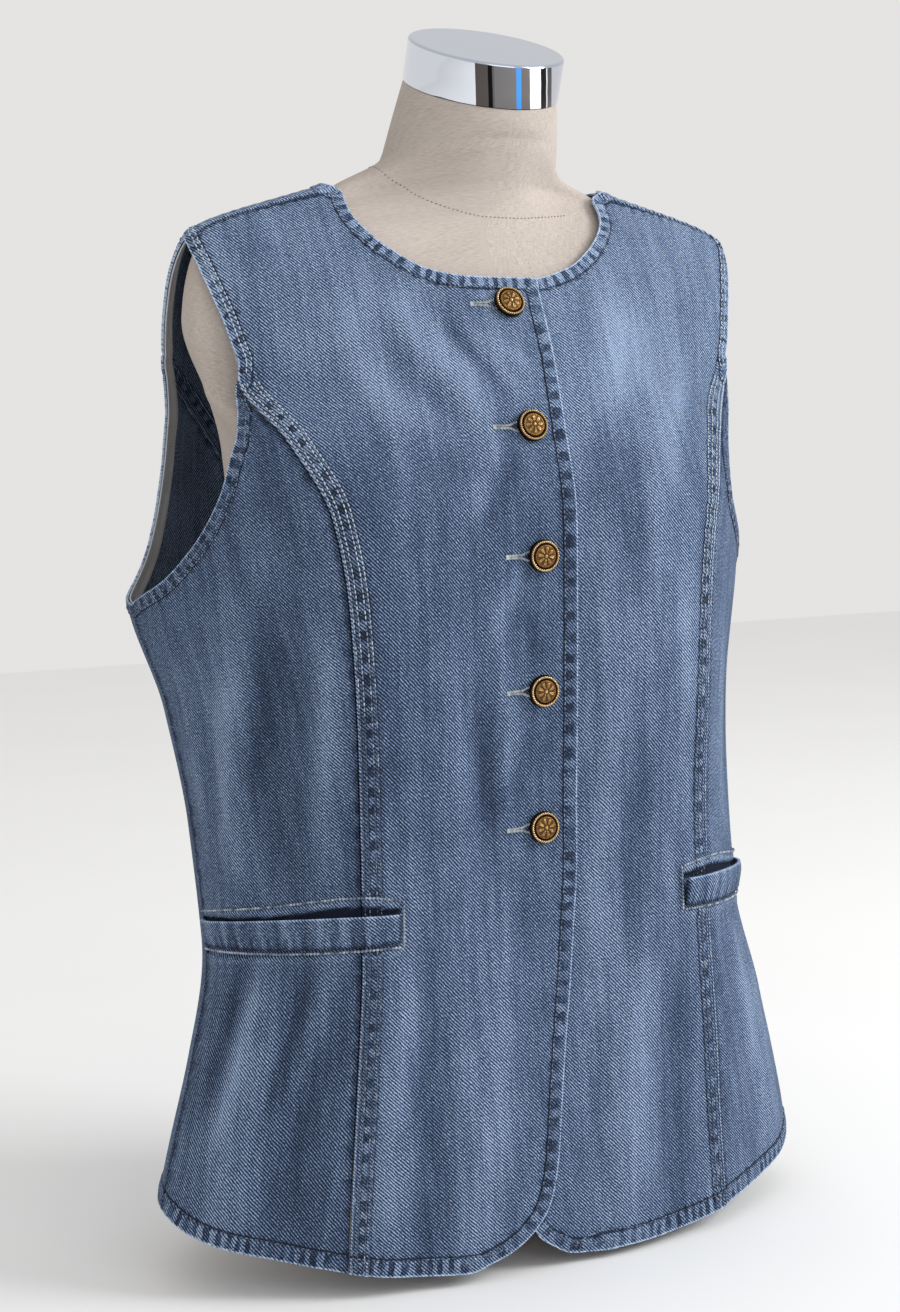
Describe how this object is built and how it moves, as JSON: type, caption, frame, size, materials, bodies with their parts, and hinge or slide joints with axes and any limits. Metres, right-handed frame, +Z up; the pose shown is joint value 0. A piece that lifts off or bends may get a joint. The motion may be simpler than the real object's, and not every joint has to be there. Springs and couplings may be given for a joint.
{
  "type": "denim vest on a limbless dress form",
  "caption": "Sleeveless button-front denim vest with princess seams and welt pockets, worn on a linen dress form with a polished neck cap.",
  "frame": {"origin": "middle of the dress form's flat base", "axes": "+Z up, the front of the vest faces -Y, +X towards the wearer's left"},
  "size_m": [0.3846, 0.221, 0.6628],
  "materials": {
    "denim": "washed twill",
    "facing": "plain weave",
    "button_metal": "aged, worn on the raised parts",
    "linen": "matt stretched linen",
    "polished_cap": "mirror polish"
  },
  "bodies": {
    "root": {"front_right": "denim", "front_left": "denim", "side_front_right": "denim", "side_front_left": "denim", "side_back_right": "denim", "side_back_left": "denim", "back": "denim", "pocket_welt_right": "denim", "pocket_welt_left": "denim", "armhole_facing_right": "facing", "armhole_facing_left": "facing", "button_1": "button_metal", "button_2": "button_metal", "button_3": "button_metal", "button_4": "button_metal", "button_5": "button_metal", "form_body": "linen", "neck_cap": "polished_cap"}
  },
  "joints": []
}
